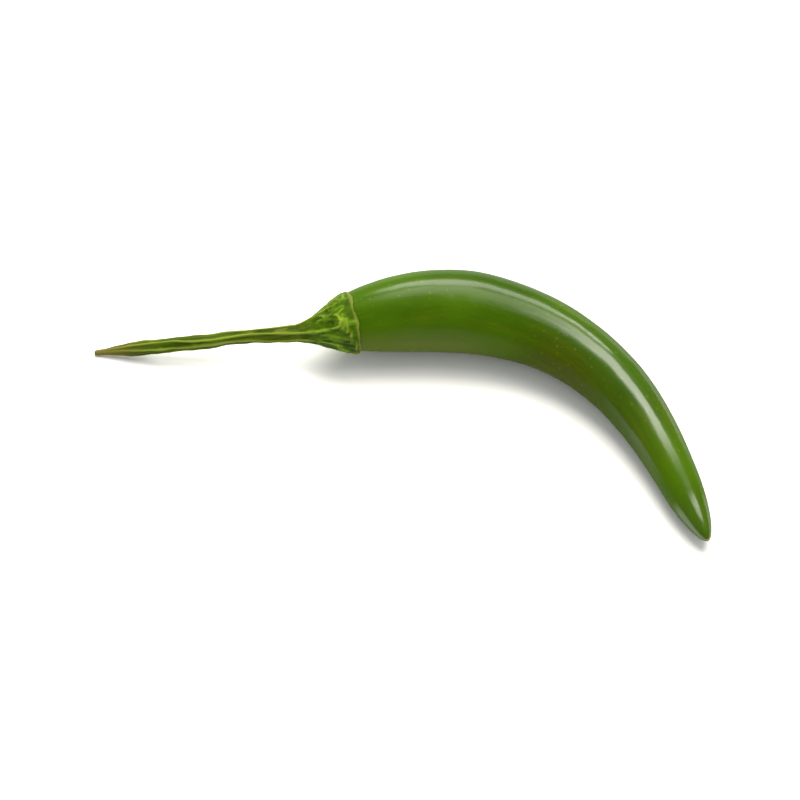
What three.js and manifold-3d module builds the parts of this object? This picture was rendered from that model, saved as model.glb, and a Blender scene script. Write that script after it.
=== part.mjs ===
import * as THREE from 'three';
import { mergeVertices } from 'three/addons/utils/BufferGeometryUtils.js';
import Module from 'manifold-3d';

// A fresh chilli pepper as picked, lying on its side on z = 0. Millimetres, +Z up.
// The stalk points to -X, the pod's curve bulges to +Y and its tip turns towards -Y.
// A station is a distance along the curved centreline, 0 where the calyx's rim meets
// the pod: stations run forward to the tip of the pod and back to the end of the stalk.

// Pod
const podLength = 68.2; // from the calyx's rim to the tip
const bellyDiameter = 11.9; // at the pod's widest place
const bellyStation = 16.6;
const shoulderDiameter = 8.2; // where the pod comes out of the calyx
const shoulderDepth = 3.4; // how far the pod's rounded base reaches into the calyx
const shoulderFullness = 2.6; // how soon the shoulder swells to the belly's width
const tipDiameter = 4.5; // of the slim end, before it rounds off
const tipRounding = 10.6; // the length over which the end rounds off
const taperDelay = 1; // above 1 the pod slims later towards its tip

// Calyx
const calyxLength = 7.6; // from its neck, where the stalk meets it, to its rim
const calyxNeckDiameter = 2.3;
const calyxWall = 0.35; // at its rim
const calyxFlare = 1.1; // above 1 the cap is slimmer than a straight cone

// Stalk
const stalkLength = 28.6;
const stalkDiameter = 1.75;
const stalkTopDiameter = 2.1; // at the calyx
const stalkTopFlare = 5; // the length over which the stalk widens to the calyx
const stalkEndDiameter = 0.7;
const stalkEndTaper = 6; // the length over which the free end slims

// Centreline
const stalkHeading = THREE.MathUtils.degToRad(0); // seen from above, from +X
const shoulderHeading = THREE.MathUtils.degToRad(18);
const shoulderTurnStart = -12; // stations between which the heading changes
const shoulderTurnEnd = 2;
const podTurn = THREE.MathUtils.degToRad(85.8); // the pod's whole bend, towards -Y
const podTurnStart = -6.8;
const podTurnEnd = 59.4;
const stalkDroop = 1.3; // how gently the stalk bows down to the surface

// Fits and fineness
const pieceGap = 0.3; // between two pieces
const restFlat = 0.12; // how much the belly is flattened where the pod lies
const stationStep = 0.25; // along the centreline
const podSides = 36;
const podRings = 54;
const calyxSides = 32;
const calyxRings = 14;
const hollowRings = 10;
const stalkSides = 16;
const stalkRings = 26;

const stalkTopStation = -calyxLength - pieceGap;
const stalkEndStation = stalkTopStation - stalkLength;
const bellyRadius = bellyDiameter / 2;
const rimRadius = shoulderDiameter / 2 + pieceGap + calyxWall;
const { lerp, clamp, smoothstep } = THREE.MathUtils;

function calyxRadius(station) {
  const along = clamp(1 + station / calyxLength, 0, 1);
  return lerp(calyxNeckDiameter / 2, rimRadius, along ** calyxFlare);
}

// Inside the calyx: a dome that keeps a margin to the cap's outside and closes at a depth.
function domeRadius(station, depth, margin) {
  const intoDome = Math.min(-station / depth, 1);
  return (calyxRadius(station) - margin) * Math.sqrt(1 - intoDome ** 2);
}

// The pod's radius without the rounding of its two ends.
function podBodyRadius(station) {
  const shoulderRadius = shoulderDiameter / 2;
  const tipRadius = tipDiameter / 2;
  if (station < bellyStation) {
    const left = clamp(1 - station / bellyStation, 0, 1);
    return bellyRadius - (bellyRadius - shoulderRadius) * left ** shoulderFullness;
  }
  const along = Math.min((station - bellyStation) / (podLength - bellyStation), 1);
  return bellyRadius - (bellyRadius - tipRadius) * along ** taperDelay;
}

function podRadius(station) {
  if (station < 0) {
    return domeRadius(station, shoulderDepth, calyxWall + pieceGap);
  }
  const intoTip = Math.max((station - podLength + tipRounding) / tipRounding, 0);
  return podBodyRadius(station) * Math.sqrt(Math.max(1 - intoTip ** 2, 0));
}

function stalkRadius(station) {
  const slim = smoothstep(station, stalkEndStation, stalkEndStation + stalkEndTaper);
  const widen = smoothstep(station, stalkTopStation - stalkTopFlare, stalkTopStation);
  const shaft = lerp(stalkEndDiameter, stalkDiameter, slim) / 2;
  return shaft + ((stalkTopDiameter - stalkDiameter) / 2) * widen ** 2;
}

// The height of the centreline: the pod lies on the surface from its belly to its tip,
// and the stalk bows down from the shoulder until its free end touches.
function axisHeight(station) {
  if (station > 0) {
    return podBodyRadius(Math.max(station, bellyStation)) - restFlat;
  }
  const shoulderHeight = bellyRadius - restFlat;
  const along = Math.min(station / stalkEndStation, 1);
  return lerp(shoulderHeight, stalkEndDiameter / 2, along ** stalkDroop);
}

function axisHeading(station) {
  const lifted = smoothstep(station, shoulderTurnStart, shoulderTurnEnd);
  const bent = smoothstep(station, podTurnStart, podTurnEnd);
  return lerp(stalkHeading, shoulderHeading, lifted) - podTurn * bent;
}

// The centreline's points from the end of the stalk to the tip, one each stationStep.
function walkAxis() {
  const length = podLength - stalkEndStation;
  const steps = Math.ceil(length / stationStep) + 1;
  const points = [new THREE.Vector3(0, 0, axisHeight(stalkEndStation))];
  for (let step = 1; step <= steps; step += 1) {
    const station = stalkEndStation + step * stationStep;
    const last = points[step - 1];
    const rise = axisHeight(station) - last.z;
    const run = Math.sqrt(Math.max(stationStep ** 2 - rise ** 2, 0));
    const heading = axisHeading(station - stationStep / 2);
    const move = new THREE.Vector3(run * Math.cos(heading), run * Math.sin(heading), rise);
    points.push(last.clone().add(move));
  }
  return points;
}

const axisPoints = walkAxis();

function axisPoint(station) {
  const place = (station - stalkEndStation) / stationStep;
  const index = clamp(Math.floor(place), 0, axisPoints.length - 2);
  return axisPoints[index].clone().lerp(axisPoints[index + 1], place - index);
}

// The cross-section's frame at a station: level sideways, and upright across the axis.
function axisFrame(station) {
  const ahead = axisPoint(station + stationStep);
  const forward = ahead.sub(axisPoint(station - stationStep)).normalize();
  const side = new THREE.Vector3(0, 0, 1).cross(forward).normalize();
  const up = new THREE.Vector3().crossVectors(forward, side);
  return { centre: axisPoint(station), side, up };
}

// Turns a profile of (radius, station) points, and bends what it makes along the centreline.
function bentLathe(profile, sides) {
  const geometry = new THREE.LatheGeometry(profile, sides);
  geometry.deleteAttribute('normal');
  geometry.deleteAttribute('uv');
  const position = geometry.getAttribute('position');
  for (let index = 0; index < position.count; index += 1) {
    const { centre, side, up } = axisFrame(position.getY(index));
    centre.addScaledVector(up, position.getX(index));
    centre.addScaledVector(side, position.getZ(index));
    position.setXYZ(index, centre.x, centre.y, centre.z);
  }
  return mergeVertices(geometry, 1e-4);
}

// Stations from start to end, closer together near both ends.
function easedStations(start, end, count) {
  const stations = [];
  for (let index = 0; index <= count; index += 1) {
    const ease = (1 - Math.cos((Math.PI * index) / count)) / 2;
    stations.push(lerp(start, end, ease));
  }
  return stations;
}

const wasm = await Module();
wasm.setup();

function toSolid(geometry) {
  const vertProperties = new Float32Array(geometry.getAttribute('position').array);
  const triVerts = new Uint32Array(geometry.getIndex().array);
  return new wasm.Manifold(new wasm.Mesh({ numProp: 3, vertProperties, triVerts }));
}

function toGeometry(solid) {
  const mesh = solid.getMesh();
  const geometry = new THREE.BufferGeometry();
  geometry.setAttribute('position', new THREE.BufferAttribute(mesh.vertProperties, 3));
  geometry.setIndex(new THREE.BufferAttribute(mesh.triVerts, 1));
  geometry.computeVertexNormals();
  return geometry;
}

// A block under z = 0 that trims whatever lies on the surface.
function blockBelow() {
  const reach = 3 * (podLength + calyxLength + stalkLength);
  const block = new THREE.BoxGeometry(reach, reach, bellyDiameter);
  block.translate(0, 0, -bellyDiameter / 2);
  block.deleteAttribute('normal');
  block.deleteAttribute('uv');
  return mergeVertices(block);
}

function makePod() {
  const stations = easedStations(-shoulderDepth, podLength, podRings);
  const profile = stations.map((station) => new THREE.Vector2(podRadius(station), station));
  profile[0].x = 0;
  profile[podRings].x = 0;
  const whole = toSolid(bentLathe(profile, podSides));
  return toGeometry(whole.subtract(toSolid(blockBelow())));
}

// The cap: outside it flares from the neck to the rim, inside it follows the pod's base.
function makeCalyx() {
  const hollowDepth = shoulderDepth + pieceGap;
  const profile = [new THREE.Vector2(0, -calyxLength)];
  for (const station of easedStations(-calyxLength, 0, calyxRings)) {
    profile.push(new THREE.Vector2(calyxRadius(station), station));
  }
  for (const station of easedStations(0, -hollowDepth, hollowRings)) {
    profile.push(new THREE.Vector2(domeRadius(station, hollowDepth, calyxWall), station));
  }
  profile[profile.length - 1].x = 0;
  return bentLathe(profile, calyxSides);
}

function makeStalk() {
  const profile = [new THREE.Vector2(0, stalkEndStation)];
  for (const station of easedStations(stalkEndStation, stalkTopStation, stalkRings)) {
    profile.push(new THREE.Vector2(stalkRadius(station), station));
  }
  profile.push(new THREE.Vector2(0, stalkTopStation));
  return bentLathe(profile, stalkSides);
}

function addPiece(group, name, geometry, colour, roughness) {
  const material = new THREE.MeshStandardMaterial({ color: colour, roughness, metalness: 0 });
  const mesh = new THREE.Mesh(geometry, material);
  mesh.name = name;
  group.add(mesh);
}

const chilli = new THREE.Group();
addPiece(chilli, 'pod', makePod(), '#3f6a12', 0.3);
addPiece(chilli, 'calyx', makeCalyx(), '#5d7a2a', 0.6);
addPiece(chilli, 'stalk', makeStalk(), '#5f6f2a', 0.65);

// The origin goes under the middle of the whole chilli, on the surface that it lies on.
const middle = new THREE.Box3().setFromObject(chilli, true).getCenter(new THREE.Vector3());
chilli.position.set(-middle.x, -middle.y, 0);

export default chilli;
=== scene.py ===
import math
import random

import bpy
import numpy
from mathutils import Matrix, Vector


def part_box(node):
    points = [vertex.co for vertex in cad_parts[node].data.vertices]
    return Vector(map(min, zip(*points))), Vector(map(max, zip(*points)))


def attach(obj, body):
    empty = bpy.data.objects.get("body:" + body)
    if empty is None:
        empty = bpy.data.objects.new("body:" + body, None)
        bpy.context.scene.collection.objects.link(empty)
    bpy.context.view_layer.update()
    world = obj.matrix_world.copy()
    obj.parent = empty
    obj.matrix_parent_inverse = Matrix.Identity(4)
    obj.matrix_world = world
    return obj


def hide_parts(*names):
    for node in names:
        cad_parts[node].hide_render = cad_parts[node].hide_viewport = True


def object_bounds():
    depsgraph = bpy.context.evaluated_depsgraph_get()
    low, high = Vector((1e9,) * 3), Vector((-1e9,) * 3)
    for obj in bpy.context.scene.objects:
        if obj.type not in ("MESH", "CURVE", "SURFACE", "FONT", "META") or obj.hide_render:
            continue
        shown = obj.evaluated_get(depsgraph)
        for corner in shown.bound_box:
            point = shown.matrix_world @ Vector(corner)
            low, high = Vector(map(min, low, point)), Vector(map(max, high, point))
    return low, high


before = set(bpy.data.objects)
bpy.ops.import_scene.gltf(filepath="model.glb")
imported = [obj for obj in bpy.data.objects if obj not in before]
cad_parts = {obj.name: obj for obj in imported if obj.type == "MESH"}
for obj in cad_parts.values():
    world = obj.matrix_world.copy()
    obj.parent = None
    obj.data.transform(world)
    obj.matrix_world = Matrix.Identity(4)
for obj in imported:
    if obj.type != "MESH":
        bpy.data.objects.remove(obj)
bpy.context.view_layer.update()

mm = 0.001
samePlace = 0.001 * mm  # two points nearer than this are one

# Distances along the fruit are stations on its curved centreline, 0 at the calyx's rim:
# forward to the pod's tip, and back to the free end of the stalk.
line = {
    "podLength": 68.2 * mm,
    "bellyRadius": 5.95 * mm,
    "bellyStation": 16.6 * mm,
    "tipRadius": 2.25 * mm,
    "calyxLength": 7.6 * mm,
    "stalkEndStation": -36.5 * mm,
    "stalkEndHeight": 0.35 * mm,
    "stalkDroop": 1.3,
    "shoulderHeading": math.radians(18),
    "shoulderTurn": (-12 * mm, 2 * mm),  # the stations where the heading starts and stops changing
    "podTurn": math.radians(85.8),
    "podTurnSpan": (-6.8 * mm, 59.4 * mm),
    "restFlat": 0.12 * mm,
    "ribs": (0.25, 1.2, 2.3, 3.25, 4.3, 5.45),  # round the stalk and on into the calyx, in radians
    "ribSway": 0.13,
    "ribWave": 2.3 * mm,
    "ribPhase": 2.1,  # from one rib's waves to the next one's
    "ribTwist": 0.022 / mm,
}


def blendOver(value, start, end):  # 0 before start, 1 after end, smooth between them
    share = min(max((value - start) / (end - start), 0), 1)
    return share * share * (3 - 2 * share)


def between(first, second, share):
    return first + (second - first) * share


def bodyRadius(station):  # of the pod, past its belly
    belly, tip = line["bellyRadius"], line["tipRadius"]
    share = (station - line["bellyStation"]) / (line["podLength"] - line["bellyStation"])
    return between(belly, tip, min(max(share, 0), 1))


def axisHeight(station):
    shoulder = line["bellyRadius"] - line["restFlat"]
    if station > 0:
        return bodyRadius(station) - line["restFlat"]
    share = min(station / line["stalkEndStation"], 1)
    return between(shoulder, line["stalkEndHeight"], share ** line["stalkDroop"])


def axisHeading(station):
    lifted = line["shoulderHeading"] * blendOver(station, *line["shoulderTurn"])
    return lifted - line["podTurn"] * blendOver(station, *line["podTurnSpan"])


def stalkEndPoint():  # the middle of the design's stalk end
    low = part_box("stalk")[0]
    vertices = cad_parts["stalk"].data.vertices
    corners = [vertex.co for vertex in vertices if vertex.co.x < low.x + 0.2 * mm]
    return sum(corners, Vector()) / len(corners)


def makeCentreline():
    step = 0.5 * mm
    spare = 3 * mm  # past the tip
    point = stalkEndPoint()
    station = line["stalkEndStation"]
    points = [point.copy()]
    while station < line["podLength"] + spare:
        rise = axisHeight(station + step) - axisHeight(station)
        run = math.sqrt(step**2 - rise**2)
        heading = axisHeading(station + step / 2)
        point += Vector((run * math.cos(heading), run * math.sin(heading), rise))
        points.append(point.copy())
        station += step
    curve = bpy.data.curves.new("centreline", "CURVE")
    curve.dimensions = "3D"
    curve.twist_mode = "Z_UP"
    spline = curve.splines.new("POLY")
    spline.points.add(len(points) - 1)
    for slot, place in zip(spline.points, points):
        slot.co = (*place, 1)
    curveObject = bpy.data.objects.new("centreline", curve)
    bpy.context.scene.collection.objects.link(curveObject)
    return curveObject


centreline = makeCentreline()


# Modelling by hand: rings drawn out along X, in straight space, and bent at the end.

def startPiece(name, sides, radius, station):
    bpy.ops.object.select_all(action="DESELECT")
    bpy.ops.mesh.primitive_circle_add(
        vertices=sides, radius=radius, location=(station, 0, 0), rotation=(0, math.pi / 2, 0)
    )
    piece = bpy.context.object
    piece.name = piece.data.name = name
    bpy.ops.object.transform_apply(location=True, rotation=True, scale=True)
    bpy.ops.object.mode_set(mode="EDIT")
    return piece


def drawRings(rings):  # rings of (station, radius), the first of which is there already
    for before, after in zip(rings, rings[1:]):
        grow = after[1] / before[1]
        move = (after[0] - before[0], 0, 0)
        bpy.ops.mesh.extrude_region_move(TRANSFORM_OT_translate={"value": move})
        bpy.ops.transform.resize(value=(1, grow, grow), center_override=(after[0], 0, 0))


def closeEnds(piece, first, last):  # a fan on each end ring
    for station in (first, last):
        selectVertices(piece, lambda place: abs(place.x - station) < samePlace)
        bpy.ops.mesh.extrude_region_move(TRANSFORM_OT_translate={"value": (0, 0, 0)})
        bpy.ops.mesh.merge(type="CENTER")


def selectVertices(piece, chosen):  # in edit mode, by their place
    bpy.ops.mesh.select_all(action="DESELECT")
    bpy.ops.object.mode_set(mode="OBJECT")
    for vertex in piece.data.vertices:
        vertex.select = chosen(vertex.co)
    bpy.ops.object.mode_set(mode="EDIT")


def finishEdit(piece):
    bpy.ops.mesh.select_all(action="SELECT")
    bpy.ops.mesh.remove_doubles(threshold=samePlace / 2)
    bpy.ops.mesh.normals_make_consistent(inside=False)
    bpy.ops.object.mode_set(mode="OBJECT")


def applyModifier(piece, kind, name, **settings):
    modifier = piece.modifiers.new(name, kind)
    for key, value in settings.items():
        setattr(modifier, key, value)
    bpy.context.view_layer.objects.active = piece
    bpy.ops.object.modifier_apply(modifier=name)


def refine(piece, levels):
    applyModifier(piece, "SUBSURF", "refine", levels=levels, render_levels=levels)


def weigh(piece, name, shares):  # one share, 0 to 1, for each point
    group = piece.vertex_groups.new(name=name)
    leastShare = 0.01
    for index, share in enumerate(shares):
        if share > leastShare:
            group.add((index,), float(share), "REPLACE")
    return group.name


def swell(piece, name, size, strength, stretch=1, direction="NORMAL", shareAt=None):
    # moves the surface by a soft pattern whose grain may be drawn out along the fruit
    pattern = bpy.data.textures.new(name, "CLOUDS")
    pattern.noise_scale = size
    group = ""
    if shareAt:
        group = weigh(piece, name, [shareAt(vertex.co.x) for vertex in piece.data.vertices])
    grain = bpy.data.objects.new(name + "Grain", None)
    grain.scale = (stretch, 1, 1)
    bpy.context.scene.collection.objects.link(grain)
    bpy.context.view_layer.update()
    applyModifier(piece, "DISPLACE", name, texture=pattern, texture_coords="OBJECT", direction=direction,
                  texture_coords_object=grain, strength=strength, vertex_group=group)
    bpy.data.objects.remove(grain)
    piece.vertex_groups.clear()


def raiseLines(piece, name, lines, radiusAt, strength):
    # lines are (points, width, share), and their points (station, angle)
    # an attribute of that name keeps how near each point is to a line, for the material
    places = numpy.empty(len(piece.data.vertices) * 3)
    piece.data.vertices.foreach_get("co", places)
    x, y, z = places.reshape(-1, 3).T
    angle = numpy.arctan2(z, y)
    radius = numpy.array([radiusAt(station) for station in x])
    best = numpy.zeros(len(x))
    thinnestWall = 0.2 * mm

    def turn(value):  # the shorter way round
        return (value + math.pi) % (2 * math.pi) - math.pi

    for points, width, share in lines:
        for start, end in zip(points, points[1:]):
            along, round_ = x - start[0], turn(angle - start[1]) * radius
            run, arc = end[0] - start[0], turn(end[1] - start[1]) * radius
            part = numpy.clip((along * run + round_ * arc) / (run**2 + arc**2 + 1e-12), 0, 1)
            gap = (along - part * run) ** 2 + (round_ - part * arc) ** 2
            best = numpy.maximum(best, share * numpy.exp(-gap / width**2))
    best[numpy.hypot(y, z) < radius - thinnestWall] = 0  # not on an inner wall
    layer = piece.data.attributes.new(name, "FLOAT", "POINT")
    layer.data.foreach_set("value", best)
    group = weigh(piece, name + "Share", best)
    applyModifier(piece, "DISPLACE", name, strength=strength, mid_level=0, vertex_group=group)
    piece.vertex_groups.clear()


def ribAngle(index, station):
    sway = line["ribSway"] * math.sin(station / line["ribWave"] + index * line["ribPhase"])
    return line["ribs"][index] + sway + line["ribTwist"] * station


def ribLines(start, end, width, share):
    count = 24
    stations = [between(start, end, i / count) for i in range(count + 1)]
    ribs = range(len(line["ribs"]))
    return [([(s, ribAngle(rib, s)) for s in stations], width, share) for rib in ribs]


def addKnots(piece):  # the same on the calyx and the stalk, so that they meet
    swell(piece, "knots", 2.3 * mm, 0.3 * mm, stretch=1.8)


def bend(piece):  # keeps where each point was before, for the materials, then follows the centreline
    straight = piece.data.attributes.new("straight", "FLOAT_VECTOR", "POINT")
    for slot, vertex in zip(straight.data, piece.data.vertices):
        slot.vector = vertex.co
    for vertex in piece.data.vertices:
        vertex.co.x -= line["stalkEndStation"]
    applyModifier(piece, "CURVE", "bend", object=centreline, deform_axis="POS_X")


def layDown(piece):  # nothing sinks into the surface
    bpy.ops.object.select_all(action="DESELECT")
    bpy.context.view_layer.objects.active = piece
    bpy.ops.object.mode_set(mode="EDIT")
    selectVertices(piece, lambda place: place.z < 0)
    bpy.ops.transform.resize(value=(1, 1, 0), center_override=(0, 0, 0))
    bpy.ops.object.mode_set(mode="OBJECT")


def easedStations(start, end, count):  # closer together near both ends
    return [between(start, end, (1 - math.cos(math.pi * i / count)) / 2) for i in range(count + 1)]


def polish(piece, node, material):
    piece.data.materials.append(material)
    bpy.ops.object.select_all(action="DESELECT")
    piece.select_set(True)
    bpy.context.view_layer.objects.active = piece
    bpy.ops.object.shade_smooth()
    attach(piece, "root")
    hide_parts(node)


# Materials. A Value is a shader socket that takes part in arithmetic.

class Value:
    def __init__(self, finish, socket):
        self.finish = finish
        self.socket = socket

    def math(self, operation, *values):
        return self.finish.node("ShaderNodeMath", {"operation": operation}, dict(enumerate(values)))

    def __add__(self, other):
        return self.math("ADD", self, other)

    def __sub__(self, other):
        return self.math("SUBTRACT", self, other)

    def __mul__(self, other):
        return self.math("MULTIPLY", self, other)

    def __radd__(self, other):
        return self.math("ADD", other, self)

    def __rsub__(self, other):
        return self.math("SUBTRACT", other, self)

    def __rmul__(self, other):
        return self.math("MULTIPLY", other, self)


class Finish:
    def __init__(self, owner, shader="Principled BSDF"):
        owner.use_nodes = True
        self.owner = owner
        self.tree = owner.node_tree
        self.shader = self.tree.nodes[shader]

    def put(self, node, key, value):
        if isinstance(key, int):
            socket = node.inputs[key]
        else:
            socket = next(s for s in node.inputs if s.enabled and s.name == key)
        if isinstance(value, Value):
            self.tree.links.new(value.socket, socket)
        else:
            socket.default_value = value

    def node(self, kind, settings, sockets, output=0):
        node = self.tree.nodes.new(kind)
        for key, value in settings.items():
            setattr(node, key, value)
        for key, value in sockets.items():
            self.put(node, key, value)
        outputs = [s for s in node.outputs if s.enabled]
        return Value(self, outputs[output])

    def straight(self):  # where a point was before the piece was bent
        return self.node("ShaderNodeAttribute", {"attribute_name": "straight"}, {}, 1)

    def lines(self, name):  # how near a raised line is
        return self.node("ShaderNodeAttribute", {"attribute_name": name}, {}, 2)

    def parts(self, vector):
        split = self.node("ShaderNodeSeparateXYZ", {}, {"Vector": vector})
        node = split.socket.node
        return [Value(self, node.outputs[axis]) for axis in range(3)]

    def noise(self, vector, stretch, detail=3, roughness=0.5, shift=(0, 0, 0)):
        spread = {"operation": "MULTIPLY_ADD"}
        grain = self.node("ShaderNodeVectorMath", spread, {0: vector, 1: stretch, 2: shift})
        sockets = {"Vector": grain, "Scale": 1, "Detail": detail, "Roughness": roughness}
        return self.node("ShaderNodeTexNoise", {}, sockets)

    def cells(self, vector, stretch):
        grain = self.node("ShaderNodeVectorMath", {"operation": "MULTIPLY"}, {0: vector, 1: stretch})
        return self.node("ShaderNodeTexVoronoi", {"feature": "F1"}, {"Vector": grain, "Scale": 1})

    def ramp(self, value, start, end, low=0, high=1):  # low before start, high after end
        sockets = {"Value": value, "From Min": start, "From Max": end, "To Min": low, "To Max": high}
        return self.node("ShaderNodeMapRange", {"interpolation_type": "SMOOTHSTEP"}, sockets)

    def tint(self, share, first, second):
        sockets = {"Factor": share, "A": first, "B": second}
        return self.node("ShaderNodeMix", {"data_type": "RGBA"}, sockets)

    def bump(self, height, strength, distance, normal=None):
        sockets = {"Height": height, "Strength": strength, "Distance": distance}
        if normal:
            sockets["Normal"] = normal
        return self.node("ShaderNodeBump", {}, sockets)

    def set(self, **sockets):
        names = {
            "colour": "Base Color",
            "roughness": "Roughness",
            "normal": "Normal",
            "specular": "Specular IOR Level",
            "coat": "Coat Weight",
            "coatRoughness": "Coat Roughness",
            "glow": "Subsurface Weight",
            "glowRadius": "Subsurface Radius",
            "glowScale": "Subsurface Scale",
        }
        for key, value in sockets.items():
            self.put(self.shader, names[key], value)
        return self.owner


def brightness(level):  # of a screen's level, 0 to 255
    if level > 10:
        return ((level / 255 + 0.055) / 1.055) ** 2.4
    return level / 255 / 12.92


def colour(red, green, blue):
    return (brightness(red), brightness(green), brightness(blue), 1)


leafGlow = (0.6, 1.0, 0.2)  # how far each colour of light spreads under the skin


# Pod

pod = {
    "shoulderRadius": 4.2 * mm,
    "shoulderDepth": 3.4 * mm,
    "shoulderFullness": 2.6,
    "tipRounding": 10.6 * mm,
    "sides": 24,
    "rings": 44,
    "refine": 3,
    "creases": [  # (stations, angle in degrees, width, share)
        ((24 * mm, 54 * mm), 64, 0.9 * mm, 0.45),
        ((1 * mm, 17 * mm), 152, 1.1 * mm, 0.6),
        ((4 * mm, 22 * mm), 30, 1.0 * mm, 0.5),
    ],
    "creaseDepth": -0.13 * mm,
    "deep": colour(41, 68, 0),
    "darkest": colour(34, 61, 0),
    "fresh": colour(58, 87, 0),
    "shoulder": colour(62, 95, 4),
    # the streaks' own colour, and also the painted reflection on the underside
    "olive": colour(86, 92, 6),
    # partly the skin's own brown tint, partly a painted reflection of red light, inside the bend
    "blushAndRedReflection": colour(72, 64, 2),
    # painted light from the floor, on the underside near the calyx
    "pale": colour(76, 90, 22),
    "tip": colour(58, 84, 6),
    "scar": colour(96, 92, 36),
    "fleck": colour(118, 140, 52),
    "gloss": {
        "specular": 0.03,
        "coatRoughness": 0.18,
        "glow": 0.1,
        "glowRadius": leafGlow,
        "glowScale": 1 * mm,
    },
}


def podRadius(station):
    if station < 0:
        into = min(-station / pod["shoulderDepth"], 0.999)
        return pod["shoulderRadius"] * math.sqrt(1 - into**2) * (1 - 0.15 * into)
    radius = bodyRadius(station)
    if station < line["bellyStation"]:
        left = (1 - station / line["bellyStation"]) ** pod["shoulderFullness"]
        radius = between(line["bellyRadius"], pod["shoulderRadius"], left)
    into = max(station - line["podLength"] + pod["tipRounding"], 0) / pod["tipRounding"]
    return radius * math.sqrt(max(1 - into**2, 0.001))


def podCreases():
    lines = []
    count = 12
    for (start, end), angle, width, share in pod["creases"]:
        stations = [between(start, end, i / count) for i in range(count + 1)]
        bow = [math.radians(angle + 5 * math.sin(station / (7 * mm))) for station in stations]
        points = list(zip(stations, bow))
        for first, second in zip(points, points[1:]):
            middle = (first[0] + second[0]) / 2
            fade = math.sin(math.pi * (middle - start) / (end - start)) ** 0.6  # to nothing at both ends
            lines.append(([first, second], width, share * fade))
    return lines


def podColour(finish, straight, cloud, patch):
    along, across, up = finish.parts(straight)
    streak = finish.noise(straight, (70, 1100, 1100), 3)
    skin = finish.tint(finish.ramp(cloud, 0.3, 0.7), pod["deep"], pod["fresh"])
    skin = finish.tint(finish.ramp(along, 0, 12 * mm, 0.35, 0), skin, pod["shoulder"])
    waist = finish.ramp(along, 18 * mm, 32 * mm) * finish.ramp(along, 60 * mm, 46 * mm)
    skin = finish.tint(waist * 0.45, skin, pod["darkest"])
    skin = finish.tint(finish.ramp(streak, 0.5, 0.75, 0, 0.22), skin, pod["olive"])
    inner = finish.ramp(across, -0.5 * mm, -4.5 * mm)
    # partly the skin's own brown tint and partly a painted reflection of red light, on the inside of the
    # bend
    blushAndRedReflection = finish.ramp(along, 20 * mm, 34 * mm) * finish.ramp(along, 62 * mm, 50 * mm)
    blushAndRedReflection = blushAndRedReflection * inner * finish.ramp(patch, 0.35, 0.6, 0.35, 1)
    skin = finish.tint(blushAndRedReflection * 0.4, skin, pod["blushAndRedReflection"])
    # painted reflection: the underside is tinted olive for the floor and red fruit that it mirrors
    under = finish.ramp(up, 1 * mm, -4 * mm)
    skin = finish.tint(under * 0.3, skin, pod["olive"])
    # painted light: a paler yellow-green low on the inside near the calyx, for light thrown up from the
    # floor
    low = inner * finish.ramp(up, 3 * mm, 0) * finish.ramp(along, 26 * mm, 14 * mm)
    skin = finish.tint(low * 0.9, skin, pod["pale"])
    skin = finish.tint(finish.ramp(along, 50 * mm, 67 * mm, 0, 0.55), skin, pod["tip"])
    fleck = finish.ramp(finish.cells(straight, (850, 850, 850)), 0.09, 0.2, 1, 0)
    skin = finish.tint(fleck * finish.ramp(patch, 0.4, 0.6, 0.04, 0.18), skin, pod["fleck"])
    return finish.tint(finish.ramp(along, 67.9 * mm, 68.1 * mm), skin, pod["scar"])


def podRelief(finish, straight):
    soft = finish.noise(straight, (190, 190, 190), 2)
    ripple = finish.noise(straight, (1100, 330, 330), 3)
    pebble = finish.noise(straight, (1300, 1300, 1300), 2)
    relief = finish.bump(soft, 0.4, 0.12 * mm)
    relief = finish.bump(ripple, 0.6, 0.05 * mm, relief)
    return finish.bump(pebble, 0.5, 0.03 * mm, relief)


def podWax(finish, straight, patch):
    along, across, up = finish.parts(straight)
    wax = finish.ramp(along, 49 * mm, 59 * mm, 1, 0.08)  # dull short of the tip, and glossy on it
    wax = wax + finish.ramp(along, 61 * mm, 63.5 * mm, 0, 1.1)
    wax = wax * finish.ramp(along, 1 * mm, 8 * mm, 0.35, 1)
    wax = wax * finish.ramp(along, 24 * mm, 42 * mm, 0.5, 1.15)
    back = finish.ramp(across * 0.82 + up * 0.57, 2 * mm, 3.9 * mm, 0.3, 1)
    far = finish.ramp(along, 18 * mm, 36 * mm)
    wax = wax * (back + far - back * far)  # near the calyx it is glossy on the outside of the bend
    hollow = finish.ramp(across, -2.2 * mm, -4 * mm) * finish.ramp(along, 14 * mm, 28 * mm)
    wax = wax * (1 - hollow * finish.ramp(along, 61 * mm, 54 * mm, 0, 0.92))  # dull inside the bend
    wax = wax * finish.ramp(patch, 0.3, 0.7, 0.8, 1)
    edge = finish.node("ShaderNodeLayerWeight", {}, {"Blend": 0.5}, 1)
    return wax * finish.ramp(edge, 0.35, 0.7, 0.95, 0.08)


def podMaterial():
    finish = Finish(bpy.data.materials.new("podSkin"))
    straight = finish.straight()
    cloud = finish.noise(straight, (60, 160, 160), 4)
    patch = finish.noise(straight, (45, 90, 90), 2, shift=(7, 3, 5))
    return finish.set(
        colour=podColour(finish, straight, cloud, patch),
        roughness=finish.ramp(cloud, 0.3, 0.7, 0.36, 0.46),
        coat=podWax(finish, straight, patch),
        normal=podRelief(finish, straight),
        **pod["gloss"],
    )


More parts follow.
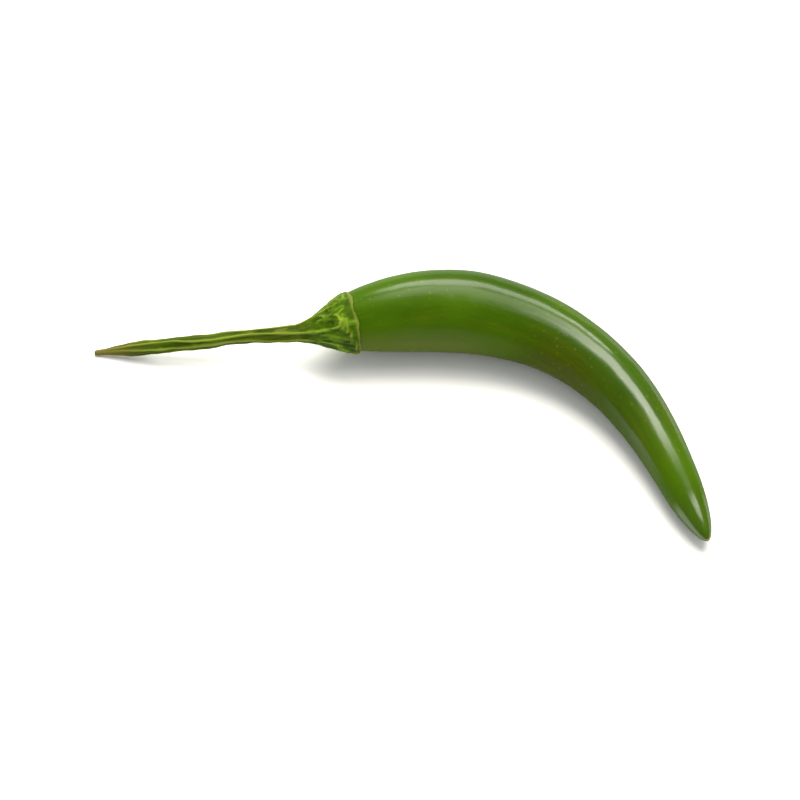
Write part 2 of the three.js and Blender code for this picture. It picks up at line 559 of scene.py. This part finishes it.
def makePod():
    stations = easedStations(-pod["shoulderDepth"], line["podLength"], pod["rings"])
    rings = [(station, podRadius(station)) for station in stations]
    piece = startPiece("pod_flesh", pod["sides"], rings[0][1], rings[0][0])
    drawRings(rings)
    closeEnds(piece, stations[0], stations[-1])
    finishEdit(piece)
    refine(piece, pod["refine"])
    raiseLines(piece, "crease", podCreases(), podRadius, pod["creaseDepth"])
    swell(piece, "podDents", 11 * mm, 0.34 * mm, stretch=1.4)
    swell(piece, "podBumps", 3.6 * mm, 0.06 * mm)
    bend(piece)
    layDown(piece)
    polish(piece, "pod", podMaterial())


# Calyx

calyx = {
    "neckRadius": 1.12 * mm,
    "rimRadius": 4.4 * mm,
    "curve": 0.5,  # 0 for a straight cone, 1 for an S
    "root": 1.2 * mm,  # how far it reaches back inside the stalk's top
    "rootRadius": 0.8 * mm,
    "wall": 0.12 * mm,
    "sides": 60,
    "rings": 14,
    "refine": 2,
    "hollowRings": (-0.8 * mm, -1.6 * mm, -2.4 * mm, -3.1 * mm, -3.5 * mm),  # inside, along the pod
    "toothWidth": 0.32,  # in radians, to each side
    "toothLength": (0.05 * mm, 0.3 * mm),
    "veinHeight": 0.24 * mm,
    "ribFade": -2.2 * mm,  # the ribs are lower from here to the rim
    "links": {  # slanting, tying the veins into a net
        "count": 34,
        "stations": (-5.2 * mm, -1.4 * mm),
        "slant": (0.4 * mm, 1.6 * mm),
        "spread": (0.5 * mm, 1.2 * mm),
        "width": (0.13 * mm, 0.24 * mm),
        "share": (0.35, 0.9),
    },
    "folds": {  # round the fruit, where the cap is crumpled against the pod
        "count": 48,
        "stations": (-2.9 * mm, -0.35 * mm),
        "slant": (0, 0.4 * mm),
        "spread": (0.9 * mm, 2.6 * mm),
        "width": (0.14 * mm, 0.26 * mm),
        "share": (0.5, 1),
    },
    "seed": 11,
    "green": colour(76, 106, 10),
    # mottling, and also the painted shade between the raised veins
    "dark": colour(38, 62, 0),
    "vein": colour(130, 150, 46),
    "edge": colour(136, 140, 60),
    "gloss": {"specular": 0.05, "glow": 0.06, "glowRadius": leafGlow, "glowScale": 0.6 * mm},
}


def calyxRadius(station):
    start = -line["calyxLength"]
    if station < start:
        return between(calyx["neckRadius"], calyx["rootRadius"], (start - station) / calyx["root"])
    share = min(1 - station / start, 1)
    share = between(share, blendOver(share, 0, 1), calyx["curve"])
    return between(calyx["neckRadius"], calyx["rimRadius"], share)


def wrinkle(dice, kind):  # a short line that wanders off at a slant
    station = dice.uniform(*kind["stations"])
    angle = dice.uniform(0, 2 * math.pi)
    lean = dice.choice((-1, 1)) * dice.uniform(*kind["slant"])
    reach = dice.uniform(*kind["spread"]) / calyxRadius(station)
    sag = dice.uniform(-0.5, 0.5) * mm
    points = []
    for part in (0, 0.2, 0.4, 0.6, 0.8, 1):
        rise = lean * (part - 0.5) + sag * (1 - (2 * part - 1) ** 2)
        points.append((station + rise, angle + reach * part))
    return points, dice.uniform(*kind["width"]), dice.uniform(*kind["share"])


def veinBetween(dice, after, before, share):  # weaker, between two ribs
    angle = between(after, before, share + dice.uniform(-0.08, 0.08))
    back = dice.uniform(-6.4, -4.4) * mm
    phase = dice.uniform(0, 6)
    count = 12
    points = []
    for index in range(count + 1):
        station = between(back, -1.2 * mm, index / count)
        points.append((station, angle + 0.1 * math.sin(station / (0.75 * mm) + phase)))
    return points, 0.2 * mm, dice.uniform(0.4, 0.75)


def calyxVeins():
    dice = random.Random(calyx["seed"])
    start = -line["calyxLength"] - calyx["root"]
    lines = ribLines(start, calyx["ribFade"], 0.22 * mm, 1)
    lines += ribLines(calyx["ribFade"], -0.3 * mm, 0.24 * mm, 0.55)
    ribs = len(line["ribs"])
    for index in range(ribs):
        after = ribAngle(index, 0)
        before = ribAngle((index + 1) % ribs, 0)
        if index + 1 == ribs:
            before += 2 * math.pi
        for share in (0.35, 0.68):
            lines.append(veinBetween(dice, after, before, share))
    for kind in (calyx["links"], calyx["folds"]):
        lines += [wrinkle(dice, kind) for _ in range(kind["count"])]
    return lines


def calyxMaterial():
    finish = Finish(bpy.data.materials.new("calyxFlesh"))
    straight = finish.straight()
    along = finish.parts(straight)[0]
    vein = finish.lines("vein")
    cloud = finish.noise(straight, (420, 520, 520), 4)
    fibre = finish.noise(straight, (300, 2400, 2400), 3)
    skin = finish.tint(finish.ramp(cloud, 0.35, 0.65), calyx["dark"], calyx["green"])
    skin = finish.tint(finish.ramp(fibre, 0.5, 0.75, 0, 0.3), skin, calyx["vein"])
    worn = finish.noise(straight, (700, 900, 900), 3, shift=(3, 9, 1))
    pale = finish.ramp(vein, 0.3, 0.95) * finish.ramp(worn, 0.35, 0.6, 0.15, 0.7)
    skin = finish.tint(pale, skin, calyx["vein"])
    # painted shade: darker on the low ground away from the raised veins
    skin = finish.tint(finish.ramp(vein, 0.22, 0, 0, 0.5), skin, calyx["dark"])
    skin = finish.tint(finish.ramp(along, -0.3 * mm, 0.05 * mm, 0, 0.4), skin, calyx["edge"])
    skin = finish.tint(finish.ramp(along, -4.5 * mm, -7.6 * mm), skin, barkColour(finish, straight, vein))
    grain = finish.bump(vein, 0.4, 0.08 * mm)
    grain = finish.bump(fibre, 0.4, 0.05 * mm, grain)
    grain = finish.bump(cloud, 0.4, 0.12 * mm, grain)
    roughness = finish.ramp(cloud, 0.3, 0.7, 0.4, 0.55)
    return finish.set(colour=skin, roughness=roughness, normal=grain, **calyx["gloss"])


def calyxCrumple(station):  # smooth at the neck, and held to the pod at the rim
    return blendOver(station, -7 * mm, -5 * mm) * between(1, 0.4, blendOver(station, -0.8 * mm, 0))


def selectTooth(piece, angle, width):  # the rim's points on both sides of an angle
    def near(place):
        turn = math.atan2(place.z, place.y) - angle
        return place.x > -0.35 * mm and math.cos(turn) > math.cos(width)

    selectVertices(piece, near)


def makeCalyx():
    dice = random.Random(calyx["seed"] + 1)
    start = -line["calyxLength"]
    stations = [start - calyx["root"], start - 0.6 * mm] + easedStations(start, 0, calyx["rings"])
    rings = [(station, calyxRadius(station)) for station in stations]
    rings.append((0.1 * mm, calyx["rimRadius"] - 0.08 * mm))
    rings.append((0.02 * mm, calyx["rimRadius"] - calyx["wall"]))
    for station in calyx["hollowRings"]:
        rings.append((station, max(podRadius(station) * 1.01, 0.4 * mm)))
    piece = startPiece("calyx_cap", calyx["sides"], rings[0][1], rings[0][0])
    drawRings(rings)
    closeEnds(piece, rings[0][0], rings[-1][0])
    for index in range(len(line["ribs"])):  # a small tooth where each rib ends
        reach = dice.uniform(*calyx["toothLength"])
        tooth = ribAngle(index, 0)
        for width, share in ((1, 0.4), (0.5, 0.6)):
            selectTooth(piece, tooth, calyx["toothWidth"] * width)
            bpy.ops.transform.translate(value=(reach * share, 0, 0))
    finishEdit(piece)
    refine(piece, calyx["refine"])
    raiseLines(piece, "vein", calyxVeins(), calyxRadius, calyx["veinHeight"])
    addKnots(piece)
    swell(piece, "calyxWrinkles", 0.9 * mm, 0.22 * mm, shareAt=calyxCrumple)
    bend(piece)
    polish(piece, "calyx", calyxMaterial())


# Stalk

stalk = {
    "radius": 0.86 * mm,
    "topRadius": 1.06 * mm,
    "topFlare": 7 * mm,
    "topReach": 0.5 * mm,  # on into the calyx
    "endRadius": 0.16 * mm,
    "endTaper": 6.5 * mm,
    "ribHeight": 0.21 * mm,
    "sides": 20,
    "rings": 44,
    "refine": 2,
    "green": colour(76, 94, 12),
    "rib": colour(116, 132, 42),
    # mottling, and also the painted shade between the ribs
    "dark": colour(42, 58, 0),
    "straw": colour(122, 122, 50),
    "dry": colour(98, 86, 38),
    "gloss": {"specular": 0.05, "glow": 0.05, "glowRadius": leafGlow, "glowScale": 0.4 * mm},
}


def stalkRadius(station):
    end = line["stalkEndStation"]
    top = -line["calyxLength"]
    shaft = between(stalk["endRadius"], stalk["radius"], blendOver(station, end, end + stalk["endTaper"]))
    flare = blendOver(station, top - stalk["topFlare"], top)
    return shaft + (stalk["topRadius"] - stalk["radius"]) * flare


def barkColour(finish, straight, rib):  # the calyx's neck has it too, so that they run together
    fibre = finish.noise(straight, (110, 2600, 2600), 4)
    cloud = finish.noise(straight, (260, 700, 700), 3)
    skin = finish.tint(finish.ramp(fibre, 0.35, 0.65), stalk["dark"], stalk["green"])
    skin = finish.tint(finish.ramp(rib, 0.35, 0.95, 0, 0.75), skin, stalk["rib"])
    # painted shade: darker in the hollows between the ribs
    skin = finish.tint(finish.ramp(rib, 0.3, 0, 0, 0.5), skin, stalk["dark"])
    return finish.tint(finish.ramp(cloud, 0.55, 0.72, 0, 0.35), skin, stalk["straw"])


def stalkMaterial():
    finish = Finish(bpy.data.materials.new("stalkFibre"))
    straight = finish.straight()
    along = finish.parts(straight)[0]
    rib = finish.lines("rib")
    fibre = finish.noise(straight, (140, 3200, 3200), 4)
    cloud = finish.noise(straight, (260, 700, 700), 3)
    skin = barkColour(finish, straight, rib)
    skin = finish.tint(finish.ramp(along, -28 * mm, -36 * mm, 0, 0.8), skin, stalk["dry"])
    grain = finish.bump(fibre, 0.5, 0.06 * mm)
    roughness = finish.ramp(cloud, 0.3, 0.7, 0.42, 0.6)
    return finish.set(colour=skin, roughness=roughness, normal=grain, **stalk["gloss"])


def stalkWander(station):  # straight where it meets the calyx
    return blendOver(station, -9 * mm, -15 * mm)


def makeStalk():
    end, top = line["stalkEndStation"], -line["calyxLength"] + stalk["topReach"]
    stations = easedStations(end, top, stalk["rings"])
    rings = [(station, stalkRadius(station)) for station in stations]
    piece = startPiece("stalk_stem", stalk["sides"], rings[0][1], rings[0][0])
    drawRings(rings)
    closeEnds(piece, stations[0], stations[-1])
    finishEdit(piece)
    refine(piece, stalk["refine"])
    raiseLines(piece, "rib", ribLines(end, top, 0.19 * mm, 1), stalkRadius, stalk["ribHeight"])
    addKnots(piece)
    swell(piece, "stalkWander", 6 * mm, 0.8 * mm, direction="Y", shareAt=stalkWander)
    bend(piece)
    layDown(piece)
    polish(piece, "stalk", stalkMaterial())


print("pod")
makePod()
print("calyx")
makeCalyx()
print("stalk")
makeStalk()
bpy.data.objects.remove(centreline)


# Floor, light and camera

studio = {
    "floor": (0.8, 0.8, 0.8, 1),
    "floorRadius": 0.9,  # as far as the lamps keep it bright, and the air past it is as bright
    "lamps": [
        {"name": "keyPanel", "from": (0.05, 0.78, 0.62), "size": (1.0, 0.44), "power": 13},
        {"name": "topPanel", "from": (0.08, 0.4, 0.91), "size": (1.15, 0.6), "power": 14.5},
        {"name": "tipLamp", "from": (0.3, 0.1, 0.95), "size": (0.5, 0.8), "power": 5.5},
    ],
    "lampDistance": 1.2,
    "air": 1.0,
    "lampColour": (1, 0.975, 0.87),
    "fill": 0.8,
    "gloom": 0.03,  # what the skin mirrors where there is no lamp
    "cameraElevation": math.radians(55),
    "cameraDistance": 1.0,
    "lens": 325,
}


def makeFloor():
    bpy.ops.object.select_all(action="DESELECT")
    bpy.ops.mesh.primitive_circle_add(vertices=96, radius=studio["floorRadius"], fill_type="NGON")
    floor = bpy.context.object
    floor.name = "floor"
    finish = Finish(bpy.data.materials.new("floorPaint"))
    floor.data.materials.append(finish.set(colour=studio["floor"], roughness=0.9, specular=0.1))


def aim(piece, place, target):
    piece.location = place
    piece.rotation_euler = (target - place).to_track_quat("-Z", "Y").to_euler()


def makeLamps(middle):
    for lamp in studio["lamps"]:
        bpy.ops.object.light_add(type="AREA")
        light = bpy.context.object
        light.name = lamp["name"]
        light.data.shape = "ELLIPSE"
        light.data.size, light.data.size_y = lamp["size"]
        light.data.energy = lamp["power"]
        light.data.color = studio["lampColour"]
        aim(light, middle + Vector(lamp["from"]).normalized() * studio["lampDistance"], middle)


def makeWorld():
    world = bpy.data.worlds.new("studioAir")
    bpy.context.scene.world = world
    finish = Finish(world, "Background")
    rays = finish.node("ShaderNodeLightPath", {}, {}).socket.node
    seen = Value(finish, rays.outputs["Is Camera Ray"])
    mirrored = Value(finish, rays.outputs["Is Glossy Ray"])
    air, fill, gloom = studio["air"], studio["fill"], studio["gloom"]
    finish.put(finish.shader, "Color", (1, 1, 1, 1))
    finish.put(finish.shader, "Strength", fill + seen * (air - fill) + mirrored * (gloom - fill))


def makeCamera(middle):
    bpy.ops.object.camera_add()
    camera = bpy.context.object
    camera.name = "camera"
    camera.data.lens = studio["lens"]
    camera.data.clip_start = 0.05
    camera.data.clip_end = 50
    elevation = studio["cameraElevation"]
    back = Vector((0, -math.cos(elevation), math.sin(elevation)))
    aim(camera, middle + back * studio["cameraDistance"], middle)
    bpy.context.scene.camera = camera


low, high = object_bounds()
middle = (low + high) / 2
makeFloor()
makeLamps(middle)
makeWorld()
makeCamera(middle)
bpy.context.scene.view_settings.view_transform = "Standard"
print("studio")
